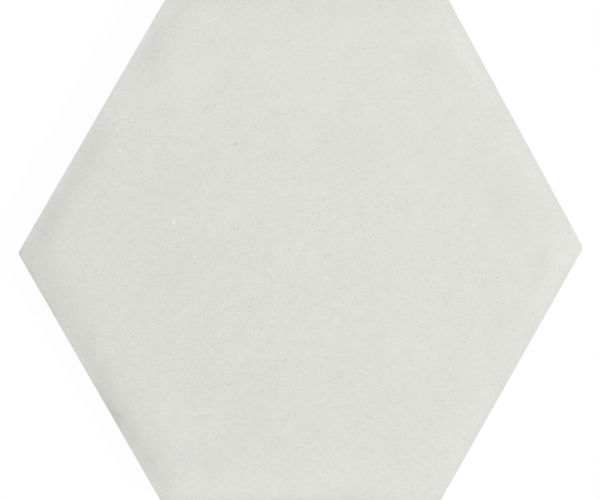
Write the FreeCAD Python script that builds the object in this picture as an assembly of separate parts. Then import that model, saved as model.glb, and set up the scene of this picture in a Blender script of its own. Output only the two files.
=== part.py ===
import FreeCAD, Part
import math
import os

# Hexagon floor tile: one piece of pressed and fired porcelain, lying face up on its back.
# Millimetres, +Z up. The origin is on the bedding plane, under the middle of the tile,
# with +X towards one of the two points and +Y towards the far straight side.

Vector = FreeCAD.Vector

# Driving dimensions of the outline
LENGTH = 200.0              # over the two points, along X
WIDTH = 177.8               # over the two straight sides, along Y
THICKNESS = 9.0             # from the bedding plane to the middle of the face

# The edge section, from the back up
BACK_BEVEL = 0.5            # 45 degree bevel round the back
TAPER_INSET = 0.8           # how far the lower wall draws in below the land
LAND_FOOT = 4.0             # height at which the upright land starts
ARRIS = 0.3                 # width of the eased edge between land and face

# The pillowed face
CROWN = 0.25                # how much higher the middle is than the points
FALL_GRID = 2.0             # spacing of the points that the face is drawn through
GRID_OVERHANG = 6.0         # how far that grid runs past the outline

# The keyed back: rings of hexagonal pockets round one in the middle
KEY_PITCH = 14.0            # from the middle of one pocket to the next
KEY_RIB = 2.4               # width of the ribs on the bedding plane
KEY_MARGIN = 7.0            # least plain band between the pockets and the sides
KEY_DEPTH = 0.8
KEY_DRAFT = 0.5             # how much each pocket wall leans in by its floor

# Each corner clockwise from the left point: its place in half lengths and half widths,
# how far firing has moved it along X and Y, and its rounding in plan.
CORNERS = (
    (-1.0, 0.0, 0.0, -1.0, 0.9),
    (-0.5, 1.0, 2.1, 0.0, 2.0),
    (0.5, 1.0, 2.5, 0.0, 1.5),
    (1.0, 0.0, 0.0, 0.9, 2.0),
    (0.5, -1.0, -0.4, 0.0, 1.5),
    (-0.5, -1.0, 0.5, 0.0, 1.2),
)
LEAST_ROUNDING = 0.2        # what is left of a rounding where the wall draws in

# The fall of the face at each side, clockwise from the far left one. Each station is a share
# of the side's length, how deep the face has fallen at the rim there, how far inside the rim
# its slope is steepest, and how much of the fall is steepest at the rim itself instead.
FALLS = (
    ((0.0, 0.81, 7.6, 0.2), (0.07, 0.69, 4.6, 0.16), (0.16, 0.65, 3.7, 0.2), (0.29, 0.5, 4.3, 0.05),
     (0.41, 0.6, 4.8, 0.13), (0.48, 0.46, 4.3, 0.1), (0.57, 0.04, 3.1, 0.2), (0.7, 0.02, 4.6, 0.2),
     (0.78, 0.47, 4.7, 0.02), (0.88, 0.37, 4.3, 0.0), (1.0, 0.1, 4.4, 0.0)),
    ((0.0, 0.37, 5.2, 0.3), (0.1, 0.28, 1.8, 0.25), (0.3, 0.3, 5.5, 0.6), (0.65, 0.22, 2.2, 0.05),
     (0.85, 0.3, 3.6, 0.3), (1.0, 0.34, 2.3, 0.1)),
    ((0.0, 0.5, 5.7, 0.35), (0.1, 0.42, 3.3, 0.0), (0.29, 0.42, 3.1, 0.2), (0.37, 0.3, 4.0, 0.4),
     (0.58, 0.18, 4.0, 0.3), (0.66, 0.18, 2.6, 0.0), (0.77, 0.24, 2.9, 0.1), (1.0, 0.25, 4.6, 0.3)),
    ((0.0, 0.42, 4.6, 0.3), (0.1, 0.3, 3.5, 0.0), (0.2, 0.27, 4.0, 0.0), (0.34, 0.08, 4.4, 0.0),
     (0.48, 0.16, 4.6, 0.0), (0.65, 0.25, 4.0, 0.0), (0.84, 0.36, 3.7, 0.0), (1.0, 0.28, 3.6, 0.0)),
    ((0.0, 0.88, 6.5, 0.0), (0.2, 0.8, 7.6, 0.0), (0.5, 0.95, 5.5, 0.0), (0.8, 0.83, 4.1, 0.0),
     (1.0, 0.9, 2.8, 0.0)),
    ((0.0, 1.1, 3.8, 0.35), (0.1, 0.75, 3.4, 0.2), (0.2, 0.9, 3.3, 0.2), (0.27, 1.03, 3.3, 0.3),
     (0.35, 1.3, 3.3, 0.45), (0.43, 1.17, 3.4, 0.37), (0.53, 0.97, 3.6, 0.2), (0.68, 0.87, 4.2, 0.23),
     (0.8, 1.05, 4.2, 0.4), (0.9, 0.96, 4.6, 0.48), (1.0, 0.91, 2.6, 0.34)),
)


def side_frames(points):
    """For each side: its first corner, its direction, its inward normal and its length."""
    frames = []
    for here, there in zip(points, points[1:] + points[:1]):
        run = there - here
        direction = Vector(run).normalize()
        inward = Vector(direction.y, -direction.x, 0)
        frames.append((here, direction, inward, run.Length))
    return frames


def half_turn(sides, index):
    """Half the angle through which the outline turns at a corner."""
    return sides[index - 1][1].getAngle(sides[index][1]) / 2


def corner_points():
    """The six sharp corners, with the points pushed out by what their rounding takes off."""
    points = []
    for along_x, along_y, moved_x, moved_y, radius in CORNERS:
        points.append(Vector(along_x * LENGTH / 2 + moved_x, along_y * WIDTH / 2 + moved_y, 0))
    sides = side_frames(points)
    for index, corner in enumerate(CORNERS):
        if abs(corner[0]) == 1.0:
            lost = corner[4] / math.cos(half_turn(sides, index)) - corner[4]
            points[index].x += corner[0] * lost
    return points


SIDES = side_frames(corner_points())


def inset_corner(index, inset):
    """Where the two sides that meet at a corner cross, once each has moved in by inset."""
    before, after = SIDES[index - 1], SIDES[index]
    start = before[0] + before[2] * inset
    other = after[0] + after[2] * inset
    gap = other - start
    cross = before[1].x * after[1].y - before[1].y * after[1].x
    travel = (gap.x * after[1].y - gap.y * after[1].x) / cross
    return start + before[1] * travel


def outline(inset, height):
    """The tile's outline, drawn in by inset, as a closed wire of sides and rounded corners."""
    roundings = []
    for index, corner in enumerate(CORNERS):
        incoming, outgoing = SIDES[index - 1][1], SIDES[index][1]
        turn = half_turn(SIDES, index)
        radius = max(corner[4] - inset, LEAST_ROUNDING)
        sharp = inset_corner(index, inset)
        setback = radius * math.tan(turn)
        towards_centre = (outgoing - incoming).normalize()
        middle = sharp + towards_centre * (radius / math.cos(turn) - radius)
        roundings.append((sharp - incoming * setback, middle, sharp + outgoing * setback))
    lift = Vector(0, 0, height)
    edges = []
    for index, (start, middle, end) in enumerate(roundings):
        next_start = roundings[(index + 1) % len(roundings)][0]
        edges.append(Part.Arc(start + lift, middle + lift, end + lift).toShape())
        edges.append(Part.LineSegment(end + lift, next_start + lift).toShape())
    return Part.Wire(edges)


def eased(stations, share):
    """Fall, reach and rim part at share along a side, eased between stations by a cosine."""
    share = min(max(share, 0.0), 1.0)
    for start, end in zip(stations, stations[1:]):
        if share <= end[0]:
            blend = 0.5 - 0.5 * math.cos(math.pi * (share - start[0]) / (end[0] - start[0]))
            return [low + (high - low) * blend for low, high in zip(start[1:], end[1:])]
    return stations[-1][1:]


def fall_left(inside, reach, at_rim):
    """How much of a fall is left at a distance inside the rim.

    The part at_rim dies away from the rim on. The rest is level there, steepest at the reach
    and level again further in. Outside the rim the slope runs on and soon levels out.
    """
    depth = 2 * inside / reach
    if depth < 0:
        return 1 + at_rim * (1 - math.exp(depth))
    return math.exp(-depth) * (1 + (1 - at_rim) * (depth + depth * depth / 2))


def face_height(x, y):
    """Height of the face: the crown, less the falls of the six sides added as squares."""
    point = Vector(x, y, 0)
    squares = 0.0
    for (corner, direction, inward, length), stations in zip(SIDES, FALLS):
        offset = point - corner
        fall, reach, at_rim = eased(stations, offset.dot(direction) / length)
        squares += (fall * fall_left(offset.dot(inward), reach, at_rim)) ** 2
    crown = CROWN * (x * x + y * y) / (LENGTH / 2) ** 2
    return THICKNESS - crown - math.sqrt(squares)


def pillowed_face():
    """One smooth surface drawn through a square grid of face heights."""
    columns = math.ceil((LENGTH / 2 + GRID_OVERHANG) / FALL_GRID)
    rows = math.ceil((WIDTH / 2 + GRID_OVERHANG) / FALL_GRID)
    grid = []
    for column in range(-columns, columns + 1):
        x = column * FALL_GRID
        line = [Vector(x, row * FALL_GRID, face_height(x, row * FALL_GRID))
                for row in range(-rows, rows + 1)]
        grid.append(line)
    surface = Part.BSplineSurface()
    surface.interpolate(grid)
    return surface.toShape()


def blank():
    """The pressed body before its face: bevelled back, tapered wall and upright land."""
    bevelled = outline(TAPER_INSET + BACK_BEVEL, 0.0)
    drawn_in = outline(TAPER_INSET, BACK_BEVEL)
    full = outline(0.0, LAND_FOOT)
    lower = Part.makeLoft([bevelled, drawn_in, full], True, True)
    upper = Part.Face(full).extrude(Vector(0, 0, THICKNESS))
    return lower.fuse(upper).removeSplitter()


def press_face(body):
    """Cuts the body down to the pillowed face and eases the arris round it."""
    above = pillowed_face().extrude(Vector(0, 0, 2 * THICKNESS))
    pressed = body.cut(above).Solids[0]
    face = max(pressed.Faces, key=lambda each: each.CenterOfMass.z)
    return pressed.makeChamfer(ARRIS, face.Edges).Solids[0]


def hexagon(across_flats, height):
    """The corners of a hexagon with two points along Y."""
    radius = across_flats / math.sqrt(3)
    turns = [math.radians(60 * step + 30) for step in range(6)]
    return [Vector(radius * math.cos(turn), radius * math.sin(turn), height) for turn in turns]


def drafted_pocket(mouth):
    """A six-sided plug with leaning walls, which runs as far below the back as above it."""
    low = hexagon(mouth + 2 * KEY_DRAFT, -KEY_DEPTH)
    high = hexagon(mouth - 2 * KEY_DRAFT, KEY_DEPTH)
    rings = [low, high]
    for index in range(6):
        following = (index + 1) % 6
        rings.append([low[index], low[following], high[following], high[index]])
    faces = [Part.Face(Part.makePolygon(ring + ring[:1])) for ring in rings]
    return Part.Solid(Part.Shell(faces))


def key_pockets():
    """The pockets of the back, in as many whole rings as the plain band leaves room for."""
    mouth = KEY_PITCH - KEY_RIB
    row = KEY_PITCH * math.sqrt(3) / 2
    half_flats = min(WIDTH / 2, LENGTH * math.sqrt(3) / 4)
    rings = int((half_flats - KEY_MARGIN - mouth / math.sqrt(3)) / row)
    pocket = drafted_pocket(mouth)
    pockets = []
    for across in range(-rings, rings + 1):
        for up in range(max(-rings, -rings - across), min(rings, rings - across) + 1):
            pockets.append(pocket.translated(Vector((across + up / 2) * KEY_PITCH, up * row, 0)))
    return Part.makeCompound(pockets)


def hexagon_tile():
    body = press_face(blank())
    return body.cut(key_pockets()).Solids[0]


os.makedirs("parts", exist_ok=True)
hexagon_tile().exportStep("parts/hexagon_tile.step")
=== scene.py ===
# %% [markdown]
# # A hexagon floor tile
#
# The object is one pressed and fired porcelain tile under a satin off-white glaze. It lies face
# up on a level floor. Nothing on it moves, so it is one piece. It is made again here, over the
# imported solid, with enough vertices for the soft fall of its edges to shade smoothly.

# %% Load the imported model
import math
import bmesh
import bpy
import numpy as np
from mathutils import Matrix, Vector, geometry


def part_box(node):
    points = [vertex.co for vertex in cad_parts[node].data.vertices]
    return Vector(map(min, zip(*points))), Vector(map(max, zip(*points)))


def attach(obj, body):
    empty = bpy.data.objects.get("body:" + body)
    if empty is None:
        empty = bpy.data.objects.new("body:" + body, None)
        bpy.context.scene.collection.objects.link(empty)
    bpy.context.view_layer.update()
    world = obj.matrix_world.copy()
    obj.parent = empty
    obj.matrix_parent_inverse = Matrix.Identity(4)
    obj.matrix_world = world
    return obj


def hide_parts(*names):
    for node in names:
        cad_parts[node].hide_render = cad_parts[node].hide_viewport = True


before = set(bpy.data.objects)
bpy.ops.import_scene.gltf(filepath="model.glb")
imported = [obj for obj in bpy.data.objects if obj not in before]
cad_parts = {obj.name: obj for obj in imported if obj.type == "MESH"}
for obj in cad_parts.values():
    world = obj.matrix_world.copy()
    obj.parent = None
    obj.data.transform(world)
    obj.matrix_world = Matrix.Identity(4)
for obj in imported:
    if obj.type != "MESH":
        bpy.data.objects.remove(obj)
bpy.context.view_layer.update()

# %% [markdown]
# ## Sizes
#
# Everything is worked out in millimetres, because a tile maker thinks in them, and becomes metres
# when a mesh or a lamp is made. The overall sizes are read from the frame, so the looks follow the
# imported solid. The edge section is the solid's own, from the back up, but for the arris between
# land and face: hardly any line shows along the rim, so the glaze must round it by little more than
# a tenth of a millimetre, where the solid has a plain bevel of 0.3 mm.

# %% Overall sizes and the edge section
MM = 0.001
tile_low, tile_high = (np.array(corner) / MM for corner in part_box("hexagon_tile"))
LENGTH = tile_high[0] - tile_low[0]     # over the two points, along X
WIDTH = tile_high[1] - tile_low[1]      # over the two straight sides, along Y
THICKNESS = tile_high[2] - tile_low[2]  # from the floor to the middle of the face
BACK_BEVEL = 0.5                        # 45 degree bevel round the back
TAPER_INSET = 0.8                       # how far the lower wall draws in below the land
LAND_FOOT = 4.0                         # height at which the upright land starts
ARRIS = 0.12                            # radius of the eased edge between land and face
CROWN = 0.25                            # how much higher the middle is than the points
print(f"tile {LENGTH:.2f} x {WIDTH:.2f} x {THICKNESS:.2f} mm")

# %% [markdown]
# ## The outline
#
# A fired tile is never quite a true hexagon. Each corner wanders by a millimetre or two, and each
# has its own rounding, where glaze has pooled or the green clay was touched. So the outline is six
# corners of their own rather than a ready-made hexagon. Clockwise from the left point, each gives
# its place in half lengths and half widths, how far it has moved along X and Y, and its rounding.

# %% Corners, sides and the turn at each corner
CORNERS = np.array([
    (-1.0, 0.0, 0.0, -1.0, 0.9),
    (-0.5, 1.0, 2.1, 0.0, 2.0),
    (0.5, 1.0, 2.5, 0.0, 1.5),
    (1.0, 0.0, 0.0, 0.9, 2.0),
    (0.5, -1.0, -0.4, 0.0, 1.5),
    (-0.5, -1.0, 0.5, 0.0, 1.2),
])
ROUNDING = CORNERS[:, 4]
LEAST_ROUNDING = 0.2    # what is left of a rounding where the ring draws in


def side_frames(corners):
    """Each side's direction, inward normal and length, and half the turn at its first corner."""
    run = np.roll(corners, -1, axis=0) - corners
    length = np.linalg.norm(run, axis=1)
    direction = run / length[:, None]
    inward = np.stack([direction[:, 1], -direction[:, 0]], axis=1)
    half_turn = np.arccos(np.sum(direction * np.roll(direction, 1, axis=0), axis=1)) / 2
    return direction, inward, length, half_turn


corners = CORNERS[:, :2] * (LENGTH / 2, WIDTH / 2) + CORNERS[:, 2:4]
half_turn = side_frames(corners)[3]
pushed_out = np.where(np.abs(CORNERS[:, 0]) == 1.0, ROUNDING / np.cos(half_turn) - ROUNDING, 0.0)
corners[:, 0] += CORNERS[:, 0] * pushed_out
DIRECTION, INWARD, SIDE_LENGTH, HALF_TURN = side_frames(corners)
TOWARDS_MIDDLE = INWARD + np.roll(INWARD, 1, axis=0)
TOWARDS_MIDDLE /= np.linalg.norm(TOWARDS_MIDDLE, axis=1)[:, None]
print("sides in mm:", np.round(SIDE_LENGTH, 1))
print("turns in degrees:", np.round(np.degrees(2 * HALF_TURN), 1))

# %% [markdown]
# ## The fall of the face
#
# The face is nearly flat in the middle and falls softly at its sides, more in one place than in
# another, as on a tile pressed in a worn die and wiped by hand. Sculpting would give that too, but
# a formula can be read, changed and shared with the solid. Each side has stations: a share of its
# length, how far the face has fallen at the rim there, how far in the slope is steepest, and how
# much of the fall is steepest at the rim itself instead. Between stations the values ease over on
# a cosine. Where two sides meet, their falls add as squares, which rounds the ridge between them.

# %% Stations of the fall
FALLS = (
    ((0.0, 0.81, 7.6, 0.2), (0.07, 0.69, 4.6, 0.16), (0.16, 0.65, 3.7, 0.2), (0.29, 0.5, 4.3, 0.05),
     (0.41, 0.6, 4.8, 0.13), (0.48, 0.46, 4.3, 0.1), (0.57, 0.04, 3.1, 0.2), (0.7, 0.02, 4.6, 0.2),
     (0.78, 0.47, 4.7, 0.02), (0.88, 0.37, 4.3, 0.0), (1.0, 0.1, 4.4, 0.0)),
    ((0.0, 0.37, 5.2, 0.3), (0.1, 0.28, 1.8, 0.25), (0.3, 0.3, 5.5, 0.6), (0.65, 0.22, 2.2, 0.05),
     (0.85, 0.3, 3.6, 0.3), (1.0, 0.34, 2.3, 0.1)),
    ((0.0, 0.5, 5.7, 0.35), (0.1, 0.42, 3.3, 0.0), (0.29, 0.42, 3.1, 0.2), (0.37, 0.3, 4.0, 0.4),
     (0.58, 0.18, 4.0, 0.3), (0.66, 0.18, 2.6, 0.0), (0.77, 0.24, 2.9, 0.1), (1.0, 0.25, 4.6, 0.3)),
    ((0.0, 0.42, 4.6, 0.3), (0.1, 0.3, 3.5, 0.0), (0.2, 0.27, 4.0, 0.0), (0.34, 0.08, 4.4, 0.0),
     (0.48, 0.16, 4.6, 0.0), (0.65, 0.25, 4.0, 0.0), (0.84, 0.36, 3.7, 0.0), (1.0, 0.28, 3.6, 0.0)),
    ((0.0, 0.88, 6.5, 0.0), (0.2, 0.8, 7.6, 0.0), (0.5, 0.95, 5.5, 0.0), (0.8, 0.83, 4.1, 0.0),
     (1.0, 0.9, 2.8, 0.0)),
    ((0.0, 1.1, 3.8, 0.35), (0.1, 0.75, 3.4, 0.2), (0.2, 0.9, 3.3, 0.2), (0.27, 1.03, 3.3, 0.3),
     (0.35, 1.3, 3.3, 0.45), (0.43, 1.17, 3.4, 0.37), (0.53, 0.97, 3.6, 0.2), (0.68, 0.87, 4.2, 0.23),
     (0.8, 1.05, 4.2, 0.4), (0.9, 0.96, 4.6, 0.48), (1.0, 0.91, 2.6, 0.34)),
)


def eased(share, stations, values):
    """Values at shares of a side, eased from each station to the next by half a cosine wave."""
    place = np.clip(np.searchsorted(stations, share, side="right") - 1, 0, len(stations) - 2)
    start, end = stations[place], stations[place + 1]
    blend = 0.5 - 0.5 * np.cos(np.pi * np.clip((share - start) / (end - start), 0, 1))
    return values[place] + (values[place + 1] - values[place]) * blend


print("stations on the six sides:", [len(stations) for stations in FALLS])

# %% The height of the face
def side_places(x, y, side):
    """For points of the face: their share along one side, and how far inside it they lie."""
    off_x, off_y = x - corners[side, 0], y - corners[side, 1]
    share = (off_x * DIRECTION[side, 0] + off_y * DIRECTION[side, 1]) / SIDE_LENGTH[side]
    return share, off_x * INWARD[side, 0] + off_y * INWARD[side, 1]


def fall_left(inside, reach, at_rim):
    """How much of a fall is left inside the rim: exp(-u) (1 + (1 - a) (u + u^2 / 2)).

    With u = 2 inside / reach, the part a dies away from the rim on. The rest is level there,
    steepest at the reach and level again further in.
    """
    u = 2 * np.maximum(inside, 0.0) / reach
    return np.exp(-u) * (1 + (1 - at_rim) * (u + u * u / 2))


def pressed_height(x, y):
    """The middle's height, less the crown and less the six falls added as squares."""
    squares = np.zeros_like(x)
    for side, stations in enumerate(FALLS):
        share_at, *values = np.array(stations).T
        share, inside = side_places(x, y, side)
        fall, reach, at_rim = (eased(share, share_at, value) for value in values)
        squares += (fall * fall_left(inside, reach, at_rim)) ** 2
    return THICKNESS - CROWN * (x * x + y * y) / (LENGTH / 2) ** 2 - np.sqrt(squares)


middles = (corners + np.roll(corners, -1, axis=0)) / 2
print("rim heights at mid side in mm:", np.round(pressed_height(*middles.T), 2))

# %% [markdown]
# ## Ripple
#
# Glaze and a fired body are never dead flat. The face carries a slow ripple, a few hundredths of
# a millimetre high and 9 to 40 mm long, which only shows as soft light and dark patches. That is
# large enough to be real shape. It is a sum of straight waves in seeded random directions, and
# longer waves are higher, so that all are about as steep.

# %% A sum of waves
RIPPLE_SEED = 12
WAVES = 36
SHORTEST_WAVE = 9.0
LONGEST_WAVE = 40.0
RIPPLE_SLOPE = 0.0013       # steepness of one wave
rng = np.random.default_rng(RIPPLE_SEED)
wave_length = np.exp(rng.uniform(np.log(SHORTEST_WAVE), np.log(LONGEST_WAVE), WAVES))
wave_way = rng.uniform(0, 2 * np.pi, WAVES)
wave_start = rng.uniform(0, 2 * np.pi, WAVES)
wave_number = 2 * np.pi / wave_length


def ripple(x, y):
    """Sum of (slope / k) cos(k (x cos a + y sin a) + start) over all waves of wave number k."""
    phase = (x[..., None] * np.cos(wave_way) + y[..., None] * np.sin(wave_way)) * wave_number
    return np.sum(RIPPLE_SLOPE / wave_number * np.cos(phase + wave_start), axis=-1)


RIPPLE_ROOM = 0.055         # the face is lowered by this, so that no crest tops the solid


def face_height(x, y):
    """The pressed height with the ripple on it."""
    return pressed_height(x, y) + ripple(x, y) - RIPPLE_ROOM


ruler = np.linspace(-WIDTH / 3, WIDTH / 3, 121)
ripple_sample = ripple(*np.meshgrid(ruler, ruler))
print("ripple from", ripple_sample.min().round(3), "to", ripple_sample.max().round(3), "mm")

# %% [markdown]
# ## Rings round the tile
#
# The edge of the tile is a profile carried round the outline. Every ring has the same number of
# stations, so two rings join into quads. Each side is half an arc, a straight run and half an arc.
# Stations crowd towards the corners, where the outline turns within a millimetre or two. A sharp
# ring without arcs is needed as well, to end the middle of the face, where a rounding would only
# squeeze the grid. Rings between the two blend from one to the other.

# %% Rounded and sharp rings, drawn in from the outline
ARC_STEPS = 8               # stations round one corner
SIDE_STEPS = 88             # stations along one straight side
STEPS = ARC_STEPS + SIDE_STEPS
CROWDING = 0.5              # how much closer than even they lie at the ends of a side


def crowded(steps):
    """Shares from 0 to 1, t - c sin(2 pi t) / (2 pi), which lie closer together at both ends."""
    t = np.arange(steps + 1) / steps
    return t - CROWDING * np.sin(2 * np.pi * t) / (2 * np.pi)


def turned(start, end, share):
    """Unit vectors from start towards end by a share of the angle between them."""
    angle = math.acos(float(start @ end))
    return (np.sin((1 - share) * angle) * start + np.sin(share * angle) * end) / math.sin(angle)


def inset_corners(inset):
    """Each corner moved towards the middle by the inset over the cosine of its half turn."""
    return corners + TOWARDS_MIDDLE * (inset / np.cos(HALF_TURN))[:, None]


def sharp_ring(inset):
    """Six straight sides between the inset corners, from the left point clockwise."""
    ends = inset_corners(inset)
    share = crowded(STEPS)[:-1, None]
    return np.concatenate([ends[side] * (1 - share) + ends[(side + 1) % 6] * share
                           for side in range(6)])


def rounded_ring(inset):
    """The outline drawn in by the inset: arcs of the rounding less the inset, and straight runs."""
    radius = np.maximum(ROUNDING - inset, LEAST_ROUNDING)
    centre = inset_corners(inset) + TOWARDS_MIDDLE * (radius / np.cos(HALF_TURN))[:, None]
    turn = np.arange(ARC_STEPS // 2)[:, None] / (ARC_STEPS // 2)
    share = crowded(SIDE_STEPS)[:-1, None]
    runs = []
    for side in range(6):
        after = (side + 1) % 6
        out = -INWARD[side]
        start, end = centre[side] + out * radius[side], centre[after] + out * radius[after]
        runs.append(centre[side] + radius[side] * turned(-TOWARDS_MIDDLE[side], out, turn))
        runs.append(start * (1 - share) + end * share)
        runs.append(centre[after] + radius[after] * turned(out, -TOWARDS_MIDDLE[after], turn))
    return np.concatenate(runs)


CORE_INSET = 7.0            # where the square grids of the middle end and the rings start


def face_ring(inset):
    """A ring of the face: rounded at the rim, sharp at the core, blended on the way."""
    blend = np.clip(inset / CORE_INSET, 0, 1) ** 2
    return rounded_ring(inset) * (1 - blend) + sharp_ring(inset) * blend


print("stations on a ring:", len(rounded_ring(0.0)), "and", len(sharp_ring(CORE_INSET)))

# %% [markdown]
# ## The middle of the face
#
# A hexagon splits into three rhombi that meet at its centre, as a cube does seen corner on. Each
# takes a square grid, so no fan of slivers meets at a pole, and the grid's lines run on into the
# rings. Inside a rhombus the points are blended between its four corners.

# %% Three square grids
def rhombus(first):
    """Bilinear patch: rows run out from the spoke of the third corner to the first side."""
    ends = inset_corners(CORE_INSET)
    here, there, beyond = ends[first], ends[(first + 1) % 6], ends[(first + 2) % 6]
    along = crowded(STEPS)[None, :, None]
    out = crowded(STEPS)[:, None, None]
    return beyond * along * (1 - out) + (here * (1 - along) + there * along) * out


def with_height(plan):
    """Plan points of the face with their height, as rows of x, y and z."""
    return np.concatenate([plan, face_height(plan[..., 0], plan[..., 1])[..., None]], axis=-1)


core_grids = [with_height(rhombus(first)) for first in (0, 2, 4)]
print("core:", len(core_grids), "grids of", core_grids[0].shape[:2], "points")

# %% [markdown]
# ## The edge section
#
# From the core outwards the rings follow the fall of the face, turn over the eased arris on a
# quarter circle, go down the upright land, draw in on the lower wall and end in the bevel of the
# back. The arris starts from the height that the face has there, so it follows the wavering rim.
# Smooth shading blends the turn of the arris into the quad beside it, so the last ring of the face
# is kept very narrow, and the rest of the face shades as if no arris were there.

# %% Rings from the core to the back
FALL_RINGS = 14
RIM_RING = 0.03             # width of the narrow ring between the face and the arris
ARRIS_RINGS = 7
SOFTENED = 0.15             # half height of the soft break between the land and the lower wall


def level_ring(inset, height):
    """The rounded outline at one height."""
    plan = rounded_ring(inset)
    return np.concatenate([plan, np.full((len(plan), 1), height)], axis=1)


fall_insets = np.linspace(CORE_INSET, ARRIS + RIM_RING, FALL_RINGS)
rings = [with_height(face_ring(inset)) for inset in (*fall_insets, ARRIS)]
rim = rings[-1]
for angle in np.linspace(0, np.pi / 2, ARRIS_RINGS)[1:]:
    plan = face_ring(ARRIS * (1 - math.sin(angle)))
    height = rim[:, 2] - ARRIS * (1 - math.cos(angle))
    rings.append(np.concatenate([plan, height[:, None]], axis=1))
taper = TAPER_INSET / (LAND_FOOT - BACK_BEVEL)
rings += [
    level_ring(0.0, LAND_FOOT + SOFTENED),
    level_ring(SOFTENED * taper, LAND_FOOT - SOFTENED),
    level_ring(TAPER_INSET, BACK_BEVEL),
    level_ring(TAPER_INSET + BACK_BEVEL, 0.0),
]
edge_rings = np.stack(rings)
print("edge:", edge_rings.shape[0], "rings of", edge_rings.shape[1], "stations")

# %% [markdown]
# ## The keyed back
#
# The back of a pressed tile is keyed, so that adhesive grips it: here with rings of shallow
# six-sided pockets between ribs, inside a plain band. Each cell is a few hexagons joined, from
# the middle of its ribs over a small worn lip down a leaning wall to its floor. Neighbouring
# cells share their outer hexagon, so they close without a gap.

# %% Cells of the back
KEY_PITCH = 14.0            # from the middle of one pocket to the next
KEY_RIB = 2.4               # width of the ribs where they stand on the floor
KEY_DEPTH = 0.8
KEY_DRAFT = 0.5             # how much each pocket wall leans in by its floor
KEY_RINGS = 6               # rings of pockets round the middle one
KEY_LIP = 0.12              # wear of the ribs' edges
MOUTH = KEY_PITCH - KEY_RIB
CELL_SECTION = (            # width over the flats and height, from the ribs to the floor
    (KEY_PITCH, 0.0),
    (MOUTH + 2 * KEY_LIP, 0.0),
    (MOUTH - 2 * KEY_DRAFT * KEY_LIP / KEY_DEPTH, KEY_LIP),
    (MOUTH - 2 * KEY_DRAFT, KEY_DEPTH),
)

across, up = np.meshgrid(*[np.arange(-KEY_RINGS, KEY_RINGS + 1)] * 2)
kept = np.abs(across + up) <= KEY_RINGS
cell_centres = np.stack([
    (across[kept] + up[kept] / 2) * KEY_PITCH, up[kept] * KEY_PITCH * math.sqrt(3) / 2], axis=1)
hexagon_way = np.radians(30 - 60 * np.arange(6))
UNIT_HEXAGON = np.stack([np.cos(hexagon_way), np.sin(hexagon_way)], axis=1) / math.sqrt(3)
cells = np.stack([
    np.concatenate([cell_centres[:, None] + UNIT_HEXAGON * flats,
                    np.full((len(cell_centres), 6, 1), height)], axis=2)
    for flats, height in CELL_SECTION], axis=1)
print("back:", len(cells), "pockets")

# %% [markdown]
# Between the outermost cells and the bevel lies the plain band. It is flat and has an odd shape,
# a smooth line outside and a zigzag inside, so here a constrained triangulation does better than
# a grid. The zigzag is made of the cell sides that only one cell uses. The triangles that fall
# inside a cell are left out.

# %% The plain band
SAME_PLACE = 4              # decimals of a millimetre to which corners of two cells agree
WITHIN_OUTLINE = 1          # the triangulation's setting that fills the outer loop and no more
NEAREST = 1e-6              # points closer than this count as one
band_outer = edge_rings[-1][:, :2]
cell_corners = (cell_centres[:, None] + UNIT_HEXAGON * KEY_PITCH).reshape(-1, 2)
shared, owner = np.unique(np.round(cell_corners, SAME_PLACE), axis=0, return_inverse=True)
start = owner.reshape(-1, 6)
cell_sides = np.sort(np.stack([start, np.roll(start, -1, axis=1)], axis=-1).reshape(-1, 2), axis=1)
sides, uses = np.unique(cell_sides, axis=0, return_counts=True)
zigzag = sides[uses == 1]
band_inner, zigzag = np.unique(zigzag, return_inverse=True)
stations = len(band_outer)
band_plan = np.concatenate([band_outer, shared[band_inner]])
loop = np.arange(stations)
band_edges = np.concatenate([np.stack([loop, (loop + 1) % stations], axis=1),
                             zigzag.reshape(-1, 2) + stations])
filled = geometry.delaunay_2d_cdt([Vector(point) for point in band_plan],
                                  band_edges.tolist(), [], WITHIN_OUTLINE, NEAREST)
band_plan, band_faces = np.array(filled[0]), np.array(filled[2])
middle = band_plan[band_faces].mean(axis=1)
nearest = cell_centres[np.argmin(np.linalg.norm(middle[:, None] - cell_centres, axis=2), axis=1)]
way = np.radians([0, 60, 120])
reach = np.abs((middle - nearest) @ np.stack([np.cos(way), np.sin(way)])).max(axis=1)
band_faces = band_faces[reach > KEY_PITCH / 2][:, ::-1]
band_points = np.concatenate([band_plan, np.zeros((len(band_plan), 1))], axis=1)
print("plain band:", len(band_faces), "triangles,", len(band_inner), "zigzag corners")

# %% [markdown]
# ## One closed body
#
# The surfaces are written into one mesh and welded where their edges meet. A closed body has no
# edge with only one face, and a positive volume shows that its faces point outwards. Edges that
# turn sharply, such as those of the pockets, stay crisp, and all others are shaded smooth.

# %% Weld the surfaces into the tile
WELD = 0.002                # points closer than this become one
CRISP_FROM = math.radians(28)   # an edge that turns by more than this stays crisp
ML_PER_CUBIC_METRE = 1e6


def grid_quads(shape, closed, offset):
    """Quads between neighbouring rows and columns of a grid stored row by row."""
    index = offset + np.arange(shape[0] * shape[1]).reshape(shape)
    if closed:
        index = np.concatenate([index, index[:, :1]], axis=1)
    return np.stack([index[:-1, :-1], index[:-1, 1:], index[1:, 1:], index[1:, :-1]],
                    axis=-1).reshape(-1, 4)


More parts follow.
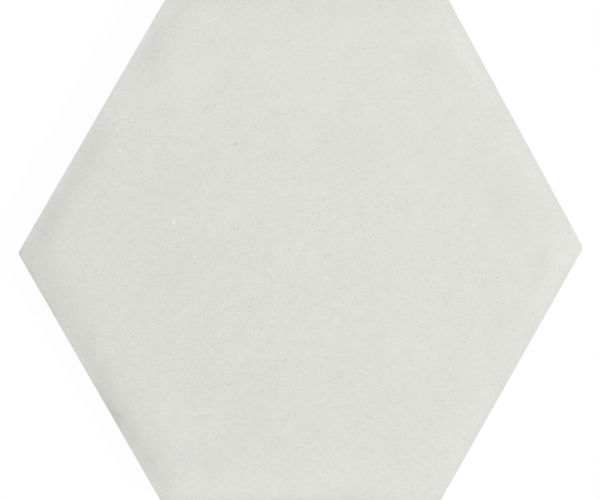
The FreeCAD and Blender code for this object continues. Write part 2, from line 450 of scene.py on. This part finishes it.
points, faces, total = [], [], 0
for grid in core_grids:
    points.append(grid.reshape(-1, 3))
    faces += grid_quads(grid.shape[:2], False, total).tolist()
    total += len(points[-1])
points.append(edge_rings.reshape(-1, 3))
faces += grid_quads(edge_rings.shape[:2], True, total).tolist()
total += len(points[-1])
for cell in cells:
    points.append(cell.reshape(-1, 3))
    faces += grid_quads(cell.shape[:2], True, total).tolist()
    faces.append(list(range(total + 6 * (len(CELL_SECTION) - 1), total + 6 * len(CELL_SECTION))))
    total += len(points[-1])
points.append(band_points)
faces += (band_faces + total).tolist()
mesh = bpy.data.meshes.new("fired_tile")
mesh.from_pydata(np.concatenate(points) * MM, [], faces)
body = bmesh.new()
body.from_mesh(mesh)
bmesh.ops.remove_doubles(body, verts=body.verts, dist=WELD * MM)
loose = [vertex for vertex in body.verts if not vertex.link_faces]
bmesh.ops.delete(body, geom=loose, context="VERTS")
open_edges = sum(1 for edge in body.edges if not edge.is_manifold)
triangles = sum(len(face.verts) - 2 for face in body.faces)
print("open edges:", open_edges, "triangles:", triangles, "loose points removed:", len(loose))
print("volume in ml:", round(body.calc_volume(signed=True) * ML_PER_CUBIC_METRE, 2))
body.to_mesh(mesh)
body.free()
mesh.shade_smooth()
mesh.set_sharp_from_angle(angle=CRISP_FROM)

# %% [markdown]
# A glaze behaves by where it lies: along the sides the spray lands heavier and melts smoother. So
# each vertex keeps how far inside the outline it is, in millimetres, as an attribute that the
# material can read. Object coordinates alone couldn't tell that from a nearby side.

# %% Distance inside the outline
co = np.empty(len(mesh.vertices) * 3)
mesh.vertices.foreach_get("co", co)
co = co.reshape(-1, 3) / MM
inside = np.min([side_places(co[:, 0], co[:, 1], side)[1] for side in range(6)], axis=0)
mesh.attributes.new("inside_mm", "FLOAT", "POINT").data.foreach_set("value", inside)
fired_tile = bpy.data.objects.new("fired_tile", mesh)
bpy.context.scene.collection.objects.link(fired_tile)
print("fired_tile:", len(mesh.vertices), "vertices, from", co.min(axis=0).round(3), "to",
      co.max(axis=0).round(3), "and the middle is", round(inside.max(), 1), "mm inside")

# %% [markdown]
# ## Glaze and biscuit
#
# The body is pressed from pale clay powder and fired to dense porcelain, which is called biscuit
# where it is bare. The face is sprayed with a satin glaze: a thin glass made cloudy by fine
# crystals, so it is off-white, nearly opaque, and shines softly. One material holds both, because
# they meet on the tile in an uneven line and not at an edge of the shape. Each value is mixed
# before it reaches the one shader.

# %% Helpers for colours and nodes
def linear(hex_colour):
    """sRGB to linear light: c / 12.92 when dark, else ((c + 0.055) / 1.055) to the power 2.4."""
    srgb = np.array([int(hex_colour[place:place + 2], 16) for place in (1, 3, 5)]) / 255
    light = np.where(srgb <= 0.04045, srgb / 12.92, ((srgb + 0.055) / 1.055) ** 2.4)
    return (*light.tolist(), 1.0)


def add(tree, kind, inputs, **settings):
    """Adds a shader node with its settings, and gives its inputs a value or a link.

    An input is named or numbered among those that the settings leave in use. A node given as a
    value links its first output in use.
    """
    node = tree.nodes.new("ShaderNode" + kind)
    for name, value in settings.items():
        setattr(node, name, value)
    in_use = [socket for socket in node.inputs if socket.enabled]
    names = [socket.name for socket in in_use]
    for key, value in inputs.items():
        socket = in_use[key if isinstance(key, int) else names.index(key)]
        if isinstance(value, bpy.types.Node):
            value = next(output for output in value.outputs if output.enabled)
        if isinstance(value, bpy.types.NodeSocket):
            tree.links.new(value, socket)
        else:
            socket.default_value = value
    return node


glazed = bpy.data.materials.new("satin_glazed_porcelain")
glazed.use_nodes = True
tree = glazed.node_tree
tree.nodes.clear()
object_place = add(tree, "TexCoord", {}).outputs["Object"]
place_mm = add(tree, "VectorMath", {0: object_place, "Scale": 1 / MM}, operation="SCALE")
along_mm = add(tree, "SeparateXYZ", {0: place_mm})
inside_mm = add(tree, "Attribute", {}, attribute_name="inside_mm").outputs["Fac"]
print("a mid grey in linear light:", round(linear("#808080")[0], 3))

# %% [markdown]
# ## Grain, mottle, peel and clouds
#
# A satin glaze is uneven at several sizes at once. Its crystals make a grain of half a millimetre
# or so, and cluster into a mottle of a few millimetres. The sprayed coat is thicker in some places
# than in others, over centimetres, which shows as clouds. Those three add up to how many crystals
# there are in one place, which decides between two colours. They show less along the sides, where
# the glaze melted smoother, and more towards the near left. The drying spray also leaves a faint
# orange peel, which is a matter of slope, so it goes into the bump. Photographs of the real thing
# could be mapped on, but noise at these sizes has no seams and no light baked into it.

# %% Noise at each size
UNEVENNESS = {              # distance between bumps in mm, detail, roughness, and a shift in mm
    "grain": (0.68, 2.0, 0.65, 0.0),
    "mottle": (3.0, 1.0, 1.0, 20.0),
    "peel": (2.6, 1.0, 0.5, 40.0),
    "tint": (0.45, 0.0, 0.5, 60.0),
    "cloud": (24.0, 3.0, 0.8, 80.0),
    "line": (11.0, 2.0, 0.5, 7.0),
    "wash": (5.0, 3.0, 0.5, 21.0),
}
uneven = {}
for name, (size, detail, roughness, shift) in UNEVENNESS.items():
    moved = add(tree, "VectorMath", {0: place_mm, 1: (shift, shift, shift)}, operation="ADD")
    uneven[name] = add(tree, "TexNoise", {"Vector": moved, "Scale": 1 / size, "Detail": detail,
                                          "Roughness": roughness})
print("noises:", list(uneven))

# %% Crystals, tint and the two ends of the glaze's colour
NOISE_MEAN = 0.5
EVEN_MIX = 0.5                  # as much of one colour as of the other
CRYSTAL_WEIGHTS = {"grain": 0.94, "mottle": 0.29, "cloud": 0.14}
CONTRAST_AT_RIM = 0.75
CONTRAST_INSIDE = 1.04          # from MELTED_BAND inwards
MELTED_BAND = 20.0
CONTRAST_PER_MM = (-0.0018, -0.001, 0.0)
PAINTED_LIGHT_PER_MM = 0.0011        # along Y: painted light, the far side is painted a little paler
PALE_CRYSTALS = linear("#EBEBE6")
CLEAR_GLAZE = linear("#CFCFCA")
TINT = (0.041, -0.041, 0.014)   # the reddest bits against the greenest, in linear light

leaning = add(tree, "VectorMath", {0: place_mm, 1: CONTRAST_PER_MM}, operation="DOT_PRODUCT")
contrast = add(tree, "Math", {0: leaning, 1: CONTRAST_INSIDE}, operation="ADD")
contrast = add(tree, "MapRange", {"Value": inside_mm, "From Max": MELTED_BAND,
                                  "To Min": CONTRAST_AT_RIM, "To Max": contrast})
crystals = -NOISE_MEAN * sum(CRYSTAL_WEIGHTS.values())
for name, weight in CRYSTAL_WEIGHTS.items():
    crystals = add(tree, "Math", {0: uneven[name], 1: weight, 2: crystals},
                   operation="MULTIPLY_ADD")
crystals = add(tree, "Math", {0: crystals, 1: contrast, 2: EVEN_MIX}, operation="MULTIPLY_ADD")
# Painted light: a gradient along Y makes the far side a little paler.
crystals = add(tree, "Math", {0: along_mm.outputs["Y"], 1: PAINTED_LIGHT_PER_MM, 2: crystals},
               operation="MULTIPLY_ADD")
glaze_colour = add(tree, "Mix", {0: crystals, 1: CLEAR_GLAZE, 2: PALE_CRYSTALS}, data_type="RGBA")
tint = add(tree, "Math", {0: uneven["tint"], 1: NOISE_MEAN}, operation="SUBTRACT")
glaze_colour = add(tree, "VectorMath", {0: tint, 1: TINT, 2: glaze_colour},
                   operation="MULTIPLY_ADD")
print("crystals mix", [round(value, 3) for value in CLEAR_GLAZE[:3]], "and",
      [round(value, 3) for value in PALE_CRYSTALS[:3]])

# %% [markdown]
# ## Pinholes
#
# Gas that leaves the body in the kiln bursts through the glaze and leaves pinholes. Thousands are
# too faint to be told from the grain, and a few are plain to see, as soft dots over half a
# millimetre across. A cell pattern scatters them, one to a cell. How dark each is follows from a
# random number: minus its logarithm, which is small for most and large for a few. The dark ones
# are deep, and a little wider.

# %% Scattered pinholes
PINHOLE_CELL = 1.07         # mean distance between two
PINHOLE_RADIUS = 0.33       # where a pinhole has faded by half
PINHOLE_SOFTNESS = 0.2      # how far to either side of that it fades
PINHOLE_STRENGTH = 0.054    # mean darkness
PINHOLE_WIDENING = 0.36     # how much of a cell the radius would gain at full darkness
cell = add(tree, "TexVoronoi", {"Vector": place_mm, "Scale": 1 / PINHOLE_CELL})
chance = add(tree, "SeparateColor", {0: cell.outputs["Color"]})
darkness = add(tree, "Math", {0: chance, 1: math.e}, operation="LOGARITHM")
darkness = add(tree, "Math", {0: darkness, 1: -PINHOLE_STRENGTH}, operation="MULTIPLY")
apart = add(tree, "Math", {0: darkness, 1: -PINHOLE_WIDENING, 2: cell.outputs["Distance"]},
            operation="MULTIPLY_ADD")
near_hole = add(tree, "MapRange", {
    "Value": apart,
    "From Min": (PINHOLE_RADIUS + PINHOLE_SOFTNESS) / PINHOLE_CELL,
    "From Max": (PINHOLE_RADIUS - PINHOLE_SOFTNESS) / PINHOLE_CELL,
}, interpolation_type="SMOOTHSTEP")
pinholes = add(tree, "Math", {0: near_hole, 1: darkness}, operation="MULTIPLY")
print("a pinhole in each", PINHOLE_CELL, "mm cell")

# %% [markdown]
# ## Marks with a place of their own
#
# Some marks can be told one by one: the widest pinholes, a short crease and a fine curved hair
# line in the glaze, a scuff of thin pale scratches and two pale flecks. A few soft patches are
# painted shade and painted light: darker and paler colour standing in for shading of the face that
# its shape doesn't give, with painted shade along the near rims, on the far left fall and by the
# right point, the plainest of them, and painted light along the fall of the far right side. Each
# is an ellipse, laid on the face with a Mapping node.

# %% Ellipses on the face
MARK_HEIGHT = 100.0         # half height of each ellipsoid, far more than the face falls
MARK_SOFTNESS = 0.6
PATCH_SOFTNESS = 1.0


def marks(ellipses, softness):
    """The strongest of the ellipses at each point; softness is how far in each one's edge fades.

    Each is an ellipsoid about the middle's height: strength where |p| < 1 - softness, and none
    where |p| > 1, with p the place in its own axes over its half sizes.
    """
    mask = 0.0
    for x, y, half_length, half_width, degrees, strength in ellipses:
        own = add(tree, "Mapping", {"Vector": place_mm, "Location": (x, y, THICKNESS),
                                    "Rotation": (0, 0, math.radians(degrees)),
                                    "Scale": (half_length, half_width, MARK_HEIGHT)},
                  vector_type="TEXTURE")
        out = add(tree, "VectorMath", {0: own}, operation="LENGTH")
        shown = add(tree, "MapRange", {"Value": out, "From Min": 1.0, "From Max": 1.0 - softness,
                                       "To Max": strength}, interpolation_type="SMOOTHSTEP")
        mask = add(tree, "Math", {0: mask, 1: shown}, operation="MAXIMUM")
    return mask


DARK_MARKS = (              # x, y, half length, half width, turn in degrees, strength
    (-23.1, 37.7, 0.65, 0.55, 20, 0.52), (-44.7, -57.9, 0.42, 0.4, 0, 0.5),
    (8.8, -38.0, 0.45, 0.42, 0, 0.48), (44.6, -80.2, 0.6, 0.35, 45, 0.48),
    (-42.2, -72.4, 0.45, 0.4, 0, 0.5), (-58.2, -4.0, 0.5, 0.4, 60, 0.45),
    (-6.0, -41.2, 0.42, 0.38, 0, 0.48), (43.9, -21.7, 0.48, 0.4, 30, 0.44),
    (24.8, 13.0, 0.4, 0.4, 0, 0.46), (41.5, -0.4, 0.55, 0.4, 0, 0.42),
    (10.3, -1.2, 0.4, 0.38, 0, 0.46), (45.0, -38.4, 0.5, 0.4, 20, 0.42),
    (8.1, 60.9, 0.42, 0.38, 0, 0.45), (-45.7, 63.0, 0.42, 0.38, 0, 0.48),
    (-33.3, -42.6, 0.6, 0.4, 45, 0.38), (39.3, -45.8, 0.42, 0.38, 0, 0.4),
    (-64.4, -58.5, 2.2, 0.55, -43, 0.4),
    (46.7, -54.7, 0.9, 0.35, 60, 0.25), (48.2, -53.5, 0.9, 0.35, 22, 0.25),
    (50.0, -53.2, 0.9, 0.4, -8, 0.3),
)
PALE_MARKS = (
    (-45.0, 10.0, 1.2, 0.65, -55, 0.5), (61.3, 9.1, 0.5, 0.45, 0, 0.6),
    (-65.1, 42.8, 0.9, 0.4, -60, 0.35), (-65.8, 38.7, 1.3, 0.38, -52, 0.35),
    (-66.8, 39.1, 0.8, 0.35, 50, 0.3), (-64.6, 35.6, 1.2, 0.38, -45, 0.35),
    (-63.5, 35.0, 0.8, 0.38, -80, 0.35), (-62.4, 41.7, 0.8, 0.4, 30, 0.3),
    (-70.5, 43.0, 0.7, 0.4, -50, 0.3),
)
# Painted shade: darker patches that stand in for shading of the face, along the near rims, on the far
# left fall and by the right point.
PAINTED_SHADE_PATCHES = (
    (85.0, -2.6, 8.5, 5.5, 62, 0.3), (83.8, -11.0, 8.0, 4.5, 60, 0.24),
    (71.0, 19.0, 24.0, 12.0, -62, 0.18), (72.0, -25.0, 16.0, 7.0, 60, 0.14),
    (-40.0, -8.0, 22.0, 16.0, 30, 0.14), (-47.0, 20.0, 16.0, 12.0, 0, 0.14),
    (18.0, 35.0, 20.0, 14.0, 0, 0.12), (44.0, 68.0, 14.0, 10.0, 0, 0.14),
    (-67.0, -57.0, 9.0, 2.6, -60, 0.3), (-51.4, 73.0, 10.0, 4.5, 60, 0.09),
    (0.0, -88.6, 42.0, 2.2, 0, 0.3),
)
# Painted light: paler patches that stand in for light on the face, two of them along the fall of the
# far right side.
PAINTED_LIGHT_PATCHES = (
    (-44.0, -62.0, 24.0, 12.0, 105, 0.11), (-39.0, 61.0, 17.0, 12.0, 60, 0.1),
    (-10.0, 66.0, 14.0, 10.0, 0, 0.08), (58.5, 69.5, 17.0, 4.0, -61.5, 0.11),
    (78.5, 31.3, 16.0, 3.2, -61.5, 0.09), (44.0, -35.0, 14.0, 12.0, 0, 0.08),
)
dark_marks = marks(DARK_MARKS, MARK_SOFTNESS)
pale_marks = marks(PALE_MARKS, MARK_SOFTNESS)
painted_shade_patches = marks(PAINTED_SHADE_PATCHES, PATCH_SOFTNESS)
painted_light_patches = marks(PAINTED_LIGHT_PATCHES, PATCH_SOFTNESS)
pits = add(tree, "Math", {0: pinholes, 1: dark_marks}, operation="MAXIMUM")
placed = DARK_MARKS + PALE_MARKS + PAINTED_SHADE_PATCHES + PAINTED_LIGHT_PATCHES
print("marks put by hand:", len(placed))

# %% [markdown]
# ## Where the glaze ends
#
# Spray reaches down the land and stops in a wavering line, some three millimetres below the face.
# Below it is bare biscuit: warmer, dull and grainy, with a few iron specks. The back has stood on
# the kiln's rollers, and its ribs keep a little of the rollers' white wash.

# %% Masks for the glaze line, the ribs and the iron
GLAZE_LINE = 5.9            # mean height of the line
LINE_WAVER = 2.4            # from the lowest that its noise could bring it to the highest
SPECK_CELL = 3.2            # mean distance between two iron specks
line = add(tree, "Math", {0: uneven["line"], 1: LINE_WAVER, 2: GLAZE_LINE - LINE_WAVER / 2},
           operation="MULTIPLY_ADD")
above_line = add(tree, "Math", {0: along_mm.outputs["Z"], 1: line}, operation="SUBTRACT")
speck = add(tree, "TexVoronoi", {"Vector": place_mm, "Scale": 1 / SPECK_CELL})
spans = {                   # what each mask reads, where it is 0 and where it is 1
    "glazed": (above_line, -0.12, 0.12),
    "low": (along_mm.outputs["Z"], 0.1, 0.02),
    "washed": (uneven["wash"], 0.35, 0.6),
    "iron": (speck, 0.12, 0.05),
}
mask = {name: add(tree, "MapRange", {"Value": value, "From Min": none, "From Max": full},
                  interpolation_type="SMOOTHSTEP")
        for name, (value, none, full) in spans.items()}
mask["washed"] = add(tree, "Math", {0: mask["washed"], 1: mask["low"]}, operation="MULTIPLY")
print("masks:", list(mask))

# %% The layers of colour
GLAZE_LAYERS = (            # mask, its share, and the colour that it brings
    # painted shade: the darker patches
    (painted_shade_patches, 1.0, "#CDCDC7"),
    # painted light: the paler patches
    (painted_light_patches, 1.0, "#F6F6F3"),
    (pits, 1.0, "#B9B8B1"),
    (pale_marks, 1.0, "#F6F6F3"),
)
BISCUIT_LAYERS = ((mask["iron"], 0.5, "#A89E8E"), (mask["washed"], 0.8, "#E4E2DC"))
biscuit_colour = linear("#CAC3B5")
for layer_mask, share, hex_colour in GLAZE_LAYERS:
    strength = add(tree, "Math", {0: layer_mask, 1: share}, operation="MULTIPLY")
    glaze_colour = add(tree, "Mix", {0: strength, 1: glaze_colour, 2: linear(hex_colour)},
                       data_type="RGBA")
for layer_mask, share, hex_colour in BISCUIT_LAYERS:
    strength = add(tree, "Math", {0: layer_mask, 1: share}, operation="MULTIPLY")
    biscuit_colour = add(tree, "Mix", {0: strength, 1: biscuit_colour, 2: linear(hex_colour)},
                         data_type="RGBA")
colour = add(tree, "Mix", {0: mask["glazed"], 1: biscuit_colour, 2: glaze_colour},
             data_type="RGBA")
print("layers of colour:", len(GLAZE_LAYERS) + len(BISCUIT_LAYERS))

# %% [markdown]
# ## The surface finish
#
# A satin glaze has a roughness near 0.4, a little uneven where its crystals are, and the IOR of
# glass. Biscuit is duller. Their heights differ too: the coat of glaze stands a tenth of a
# millimetre proud of the body, the peel is some microns high, and biscuit is grainy.

# %% Roughness, relief and the shader
GLAZE_IOR = 1.5
GLAZE_ROUGHNESS = 0.4
BISCUIT_ROUGHNESS = 0.8
CLOUD_ROUGHNESS = 0.15      # how much the clouds change it
GLAZE_RELIEF = (            # what stands proud, and by how many millimetres
    (uneven["peel"], 0.017), (uneven["grain"], 0.0035), (pits, -0.035),
)
COAT = 0.1                  # thickness of the glaze
BISCUIT_GRAIN = 0.03        # height of the grain where the body is bare
roughness = add(tree, "MapRange", {"Value": mask["glazed"], "To Min": BISCUIT_ROUGHNESS,
                                   "To Max": GLAZE_ROUGHNESS - CLOUD_ROUGHNESS / 2})
roughness = add(tree, "Math", {0: uneven["cloud"], 1: CLOUD_ROUGHNESS, 2: roughness},
                operation="MULTIPLY_ADD")
relief = COAT
for value, height in GLAZE_RELIEF:
    relief = add(tree, "Math", {0: value, 1: height, 2: relief}, operation="MULTIPLY_ADD")
bare_relief = add(tree, "Math", {0: uneven["grain"], 1: BISCUIT_GRAIN}, operation="MULTIPLY")
relief = add(tree, "Mix", {0: mask["glazed"], 1: bare_relief, 2: relief}, data_type="FLOAT")
bump = add(tree, "Bump", {"Height": relief, "Distance": MM, "Strength": 1.0})
shader = add(tree, "BsdfPrincipled", {"Base Color": colour, "Roughness": roughness,
                                      "Normal": bump, "IOR": GLAZE_IOR})
add(tree, "OutputMaterial", {"Surface": shader})
mesh.materials.append(glazed)
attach(fired_tile, "root")
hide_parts("hexagon_tile")
print("nodes in the material:", len(tree.nodes))

# %% [markdown]
# ## Camera
#
# The photograph looks straight down, from far enough that both ends look alike. So the camera has
# a long lens, stands more than a metre above the face and keeps a true perspective. Its place
# follows from sizes in the picture: one pixel is 0.3541 mm on the face, and the tile's middle is
# about half a pixel right of the frame's middle and half a pixel below it.

# %% A long lens straight above
IMAGE_WIDTH = 600
IMAGE_HEIGHT = 500
PIXEL_MM = 0.3541
MIDDLE_X_PX = 300.65        # where the tile's middle lies in the frame
MIDDLE_Y_PX = 250.45
SENSOR = 36.0
LENS = 200.0
SEEN_METRES = 50.0          # far past the edge of the floor
camera = bpy.data.objects.new("camera", bpy.data.cameras.new("camera"))
bpy.context.scene.collection.objects.link(camera)
camera.data.sensor_width = SENSOR
camera.data.lens = LENS
camera.data.clip_end = SEEN_METRES
camera_height = THICKNESS + LENS / SENSOR * IMAGE_WIDTH * PIXEL_MM
camera.location = Vector(((IMAGE_WIDTH / 2 - MIDDLE_X_PX) * PIXEL_MM,
                          (MIDDLE_Y_PX - IMAGE_HEIGHT / 2) * PIXEL_MM, camera_height)) * MM
bpy.context.scene.camera = camera
print("camera", round(camera_height), "mm above the floor")

# %% [markdown]
# ## Light
#
# Soft studio light. A broad lamp stands some metres away on the right and a little on the near
# side, so the falls on the left turn dark and those on the right a little bright. A second one
# hangs overhead, and a pale sky fills in. Together they give a level at which a colour renders
# about as it is written: an irradiance of pi on the face. The camera and reflections see the sky
# as white.

# %% Lamps
# Each one's name, share of the light on the face, distance in metres, angle from overhead and
# angle round from +X in degrees, and width in metres
LAMPS = (
    ("key_lamp", 0.58, 4.5, 60.0, -25.0, 1.5),
    ("top_lamp", 0.14, 1.9, 0.0, 90.0, 1.6),
)


def lamp(name, share, distance, from_top, way, size):
    """A disc lamp that gives its share of pi at the origin: power is share pi^2 r^2 / cos(a)."""
    from_top, way = math.radians(from_top), math.radians(way)
    data = bpy.data.lights.new(name, "AREA")
    data.shape = "DISK"
    data.size = size
    data.energy = share * math.pi ** 2 * distance ** 2 / math.cos(from_top)
    made = bpy.data.objects.new(name, data)
    made.location = distance * Vector((math.sin(from_top) * math.cos(way),
                                       math.sin(from_top) * math.sin(way), math.cos(from_top)))
    made.rotation_euler = made.location.to_track_quat("Z", "Y").to_euler()
    bpy.context.scene.collection.objects.link(made)
    print(name, round(data.energy, 1), "W at", [round(value, 2) for value in made.location])


for each_lamp in LAMPS:
    lamp(*each_lamp)

# %% Sky
SKY_SHARE = 0.27            # of the light on the face
world = bpy.data.worlds.new("studio")
bpy.context.scene.world = world
world.use_nodes = True
sky = world.node_tree
sky.nodes.clear()
ray = add(sky, "LightPath", {})
seen = add(sky, "Math", {0: ray.outputs["Is Camera Ray"], 1: ray.outputs["Is Glossy Ray"]},
           operation="MAXIMUM")
seen = add(sky, "Math", {0: seen, 1: ray.outputs["Is Transmission Ray"]}, operation="MAXIMUM")
strength = add(sky, "MapRange", {"Value": seen, "To Min": SKY_SHARE, "To Max": 1.0})
light = add(sky, "Background", {"Color": (1, 1, 1, 1), "Strength": strength})
add(sky, "OutputWorld", {"Surface": light})
print("sky gives", round(SKY_SHARE, 2), "of the light")

# %% [markdown]
# ## Floor
#
# The floor is plain and reads as white around the tile. It adds a little glow of its own to what
# it reflects, for the camera and for reflections only. So it is white where it is fully lit, and
# still keeps the tile's soft shadow.

# %% A white floor that keeps the shadow
FLOOR_HALF = 6000.0
FLOOR_GAP = 0.02            # below the tile's back, so that the two don't lie in one plane
FLOOR_GLOW = 0.965
DIM_PAPER = linear("#3C3C3C")       # what the camera sees of the light, beside the glow
PLAIN_PAPER = linear("#E8E8E8")     # what throws light back up at the tile
floor_corners = np.array([(-1, -1), (1, -1), (1, 1), (-1, 1)]) * FLOOR_HALF
floor_corners = np.column_stack([floor_corners, np.full(4, -FLOOR_GAP)])
floor_mesh = bpy.data.meshes.new("studio_floor")
floor_mesh.from_pydata(floor_corners * MM, [], [(0, 1, 2, 3)])
floor = bpy.data.objects.new("studio_floor", floor_mesh)
bpy.context.scene.collection.objects.link(floor)
white_paper = bpy.data.materials.new("white_paper")
white_paper.use_nodes = True
paper = white_paper.node_tree
paper.nodes.clear()
ray = add(paper, "LightPath", {})
seen = add(paper, "Math", {0: ray.outputs["Is Camera Ray"], 1: ray.outputs["Is Glossy Ray"]},
           operation="MAXIMUM")
reflected = add(paper, "BsdfDiffuse", {"Color": DIM_PAPER})
glow = add(paper, "Emission", {"Color": (1, 1, 1, 1), "Strength": FLOOR_GLOW})
lit = add(paper, "AddShader", {0: reflected, 1: glow})
plain = add(paper, "BsdfDiffuse", {"Color": PLAIN_PAPER})
shown = add(paper, "MixShader", {0: seen, 1: plain, 2: lit})
add(paper, "OutputMaterial", {"Surface": shown})
floor_mesh.materials.append(white_paper)
print("floor", 2 * FLOOR_HALF * MM, "m across")

# %% [markdown]
# ## View
#
# The view transform is Standard, so that a colour stays what it is.

# %% Finish
bpy.context.scene.view_settings.view_transform = "Standard"
